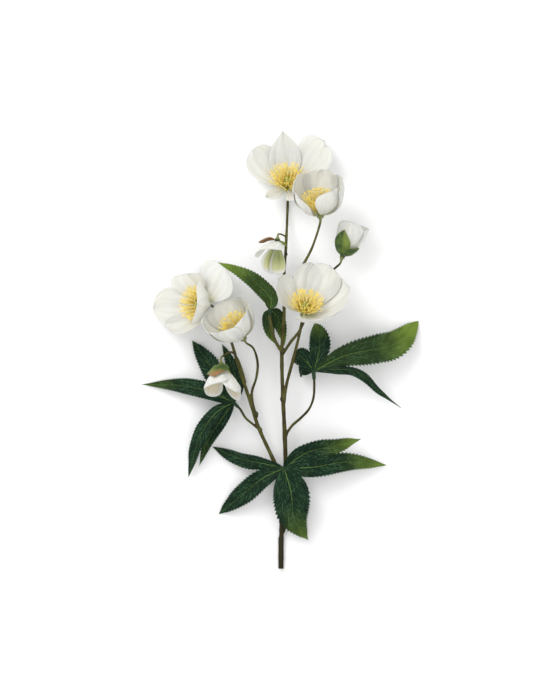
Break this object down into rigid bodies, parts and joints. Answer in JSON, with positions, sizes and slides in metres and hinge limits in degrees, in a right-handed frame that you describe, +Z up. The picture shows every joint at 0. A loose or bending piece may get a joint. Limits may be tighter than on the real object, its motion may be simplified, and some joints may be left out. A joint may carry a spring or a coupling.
{
  "type": "hellebore flower spray",
  "caption": "Cut spray of white hellebore lying face up: open blooms with golden stamens, nodding and upright buds, and dark serrated palmate leaves on one branched stem.",
  "frame": {"origin": "on the table, below the middle of the spray's bounding box", "axes": "+Y runs from the stem's cut end towards the top blooms, +Z points up from the table, and +X points right when seen from above"},
  "size_m": [0.2284, 0.3605, 0.0785],
  "materials": {
    "stem": "satin",
    "leaf": "satin",
    "sepal": "matte",
    "stamen": "matte",
    "carpel": "matte",
    "bud_sepal": "matte",
    "bract": "satin"
  },
  "bodies": {
    "root": {"stem": "stem", "leaf_lower": "leaf", "leaf_right": "leaf", "leaf_left": "leaf", "leaf_upper": "leaf", "bloom_top_sepal_1": "sepal", "bloom_top_sepal_2": "sepal", "bloom_top_sepal_3": "sepal", "bloom_top_sepal_4": "sepal", "bloom_top_sepal_5": "sepal", "bloom_top_stamens": "stamen", "bloom_top_carpels": "carpel", "bloom_upper_side_sepal_1": "sepal", "bloom_upper_side_sepal_2": "sepal", "bloom_upper_side_sepal_3": "sepal", "bloom_upper_side_sepal_4": "sepal", "bloom_upper_side_sepal_5": "sepal", "bloom_upper_side_stamens": "stamen", "bloom_upper_side_carpels": "carpel", "bloom_centre_sepal_1": "sepal", "bloom_centre_sepal_2": "sepal", "bloom_centre_sepal_3": "sepal", "bloom_centre_sepal_4": "sepal", "bloom_centre_sepal_5": "sepal", "bloom_centre_stamens": "stamen", "bloom_centre_carpels": "carpel", "bloom_left_sepal_1": "sepal", "bloom_left_sepal_2": "sepal", "bloom_left_sepal_3": "sepal", "bloom_left_sepal_4": "sepal", "bloom_left_sepal_5": "sepal", "bloom_left_stamens": "stamen", "bloom_left_carpels": "carpel", "bloom_lower_side_sepal_1": "sepal", "bloom_lower_side_sepal_2": "sepal", "bloom_lower_side_sepal_3": "sepal", "bloom_lower_side_sepal_4": "sepal", "bloom_lower_side_sepal_5": "sepal", "bloom_lower_side_stamens": "stamen", "bloom_lower_side_carpels": "carpel", "bud_upright_sepals": "bud_sepal", "bud_upright_bracts": "bract", "bud_nodding_upper_sepals": "bud_sepal", "bud_nodding_upper_bracts": "bract", "bud_nodding_lower_sepals": "bud_sepal", "bud_nodding_lower_bracts": "bract"}
  },
  "joints": []
}
